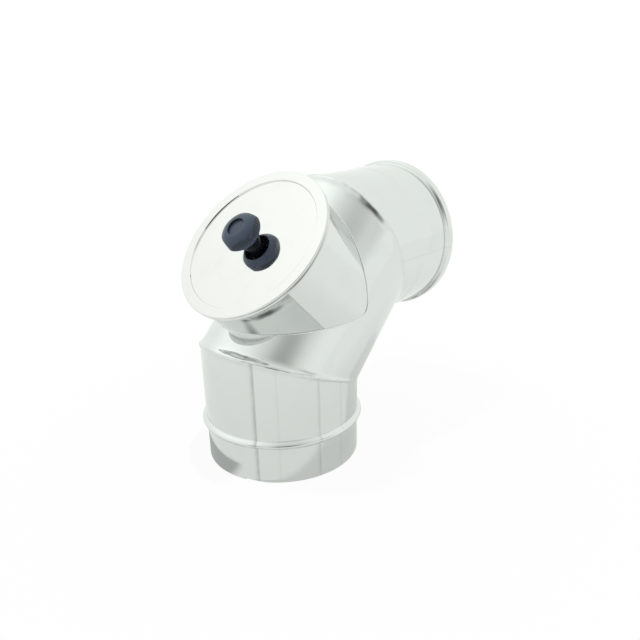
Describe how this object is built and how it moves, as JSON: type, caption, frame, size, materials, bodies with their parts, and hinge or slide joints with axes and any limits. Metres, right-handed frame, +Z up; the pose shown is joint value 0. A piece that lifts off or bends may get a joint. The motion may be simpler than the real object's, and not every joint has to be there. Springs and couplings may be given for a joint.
{
  "type": "flue elbow with inspection branch",
  "caption": "Mitred stainless flue elbow that turns a duct through a right angle, with a male spigot, a sealed female socket and a lidded inspection branch held by a five-sided knob.",
  "frame": {"origin": "centre of the spigot's lower rim, on the plane the elbow stands on", "axes": "+Z up the spigot, +X out of the socket, Y square to the bend"},
  "size_m": [0.2299, 0.1366, 0.2325],
  "materials": {
    "bright_stainless": "bright annealed sheet, close to a mirror",
    "clamp_steel": "plain turned and pressed steel",
    "seal_silicone": "matt silicone",
    "knob_plastic": "moulded, fine satin"
  },
  "bodies": {
    "elbow": {"lower_spigot": "bright_stainless", "middle_gore": "bright_stainless", "upper_socket": "bright_stainless", "socket_seal": "seal_silicone", "inspection_branch": "bright_stainless"},
    "lid_plug": {"inspection_lid": "bright_stainless", "expansion_ring": "seal_silicone", "knob_washer": "clamp_steel"},
    "knob_and_stud": {"knob": "knob_plastic", "clamp_stud": "clamp_steel", "retaining_clip": "clamp_steel"},
    "clamp_plate": {"pressure_plate": "clamp_steel", "plate_nut": "clamp_steel"}
  },
  "joints": [
    {"name": "lid_lift", "type": "slide", "parent": "elbow", "child": "lid_plug", "axis": [-0.7071, 0, 0.7071], "range_m": [0, 0.08]},
    {"name": "knob_turn", "type": "hinge", "parent": "lid_plug", "child": "knob_and_stud", "pos_m": [-0.02434, 0, 0.1851], "axis": [-0.7071, 0, 0.7071], "range_deg": [0, 990]},
    {"name": "plate_draw", "type": "slide", "parent": "lid_plug", "child": "clamp_plate", "axis": [0.7071, 0, -0.7071], "range_m": [0, 0.00344]}
  ],
  "couplings": [
    {"joint": "knob_turn", "follows": "plate_draw", "rad_per_m": 5026.5}
  ]
}
